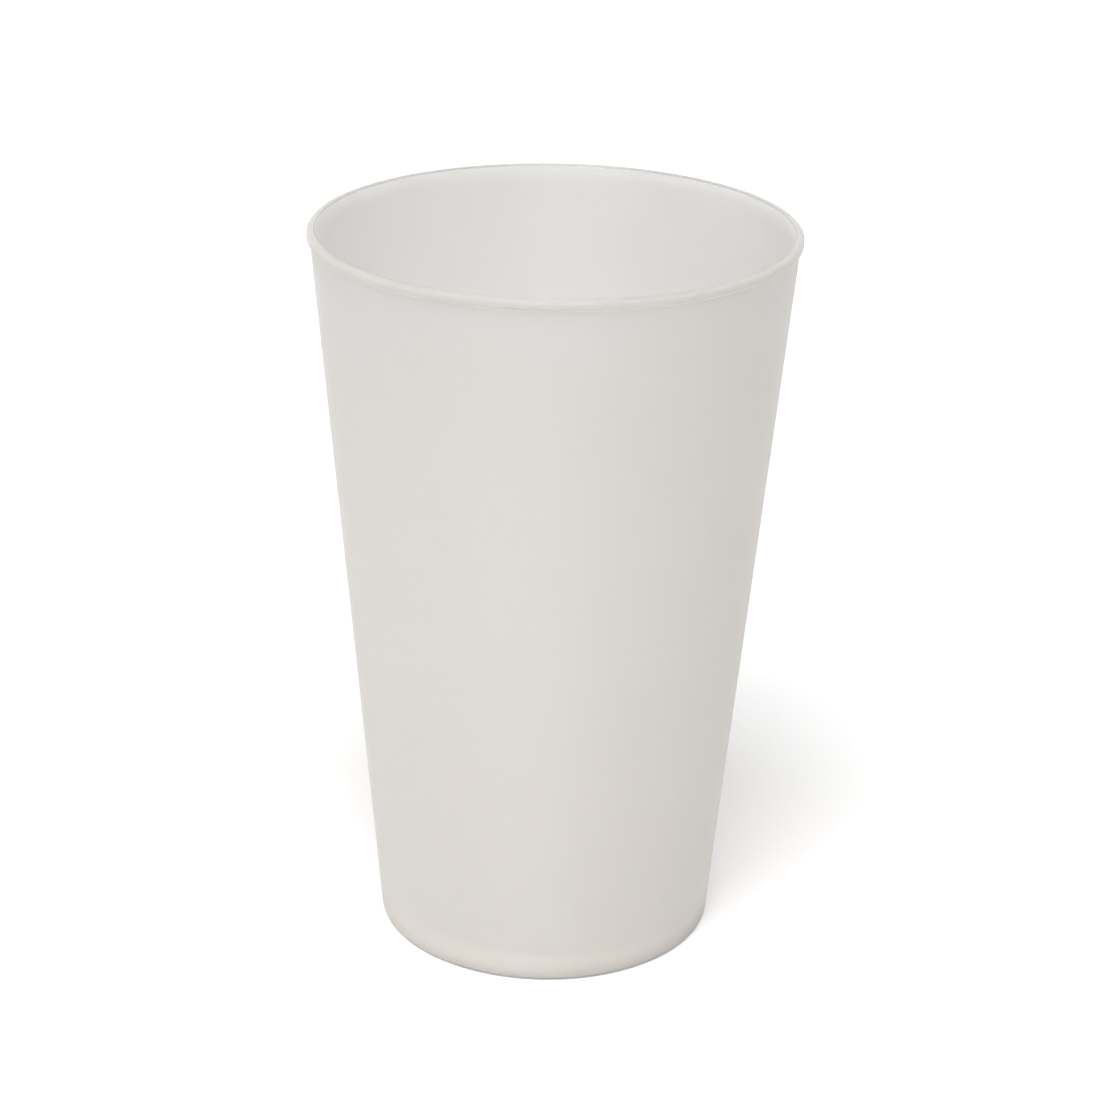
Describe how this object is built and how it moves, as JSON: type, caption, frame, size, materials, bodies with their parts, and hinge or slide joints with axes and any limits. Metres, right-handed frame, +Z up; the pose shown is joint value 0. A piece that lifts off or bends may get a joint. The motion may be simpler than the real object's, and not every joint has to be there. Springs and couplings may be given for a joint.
{
  "type": "plastic cup",
  "caption": "Tapered, frosted plastic drinking cup with a rounded lip standing out from the wall and a floor recessed on a foot ring.",
  "frame": {"origin": "centre of the foot ring, on the surface the cup stands on", "axes": "+Z up along the cup's axis, towards its mouth; the cup is round, so X and Y are alike"},
  "size_m": [0.0762, 0.0762, 0.117],
  "materials": {
    "frosted_plastic": "frosted, milky translucent polypropylene with a soft satin sheen"
  },
  "bodies": {
    "root": {"cup": "frosted_plastic"}
  },
  "joints": []
}
